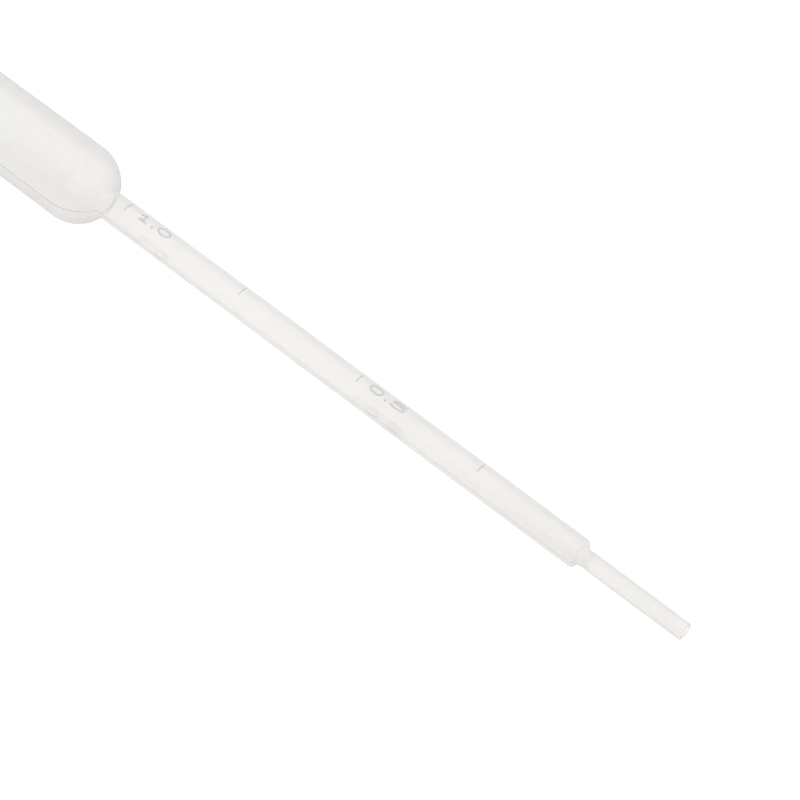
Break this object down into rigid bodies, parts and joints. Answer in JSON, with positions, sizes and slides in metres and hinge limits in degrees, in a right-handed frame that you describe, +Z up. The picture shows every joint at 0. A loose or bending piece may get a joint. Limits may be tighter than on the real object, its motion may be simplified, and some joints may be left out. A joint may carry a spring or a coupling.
{
  "type": "plastic dropper pipette",
  "caption": "Thin-walled squeeze dropper: a narrow open tip, a long straight barrel with raised volume marks, and a round-ended hollow bulb.",
  "frame": {"origin": "middle of the footprint, on the surface the pipette lies on", "axes": "+X runs along the pipette towards its open tip, +Z is up, and the marked side faces up and a little towards +Y. The pipette's own axis slopes down towards the tip by 2.38 degrees."},
  "size_m": [0.155, 0.0128, 0.0141],
  "materials": {
    "soft_polythene": "translucent, milky, smooth low-density polyethylene"
  },
  "bodies": {
    "root": {"dropper_body": "soft_polythene"}
  },
  "joints": []
}
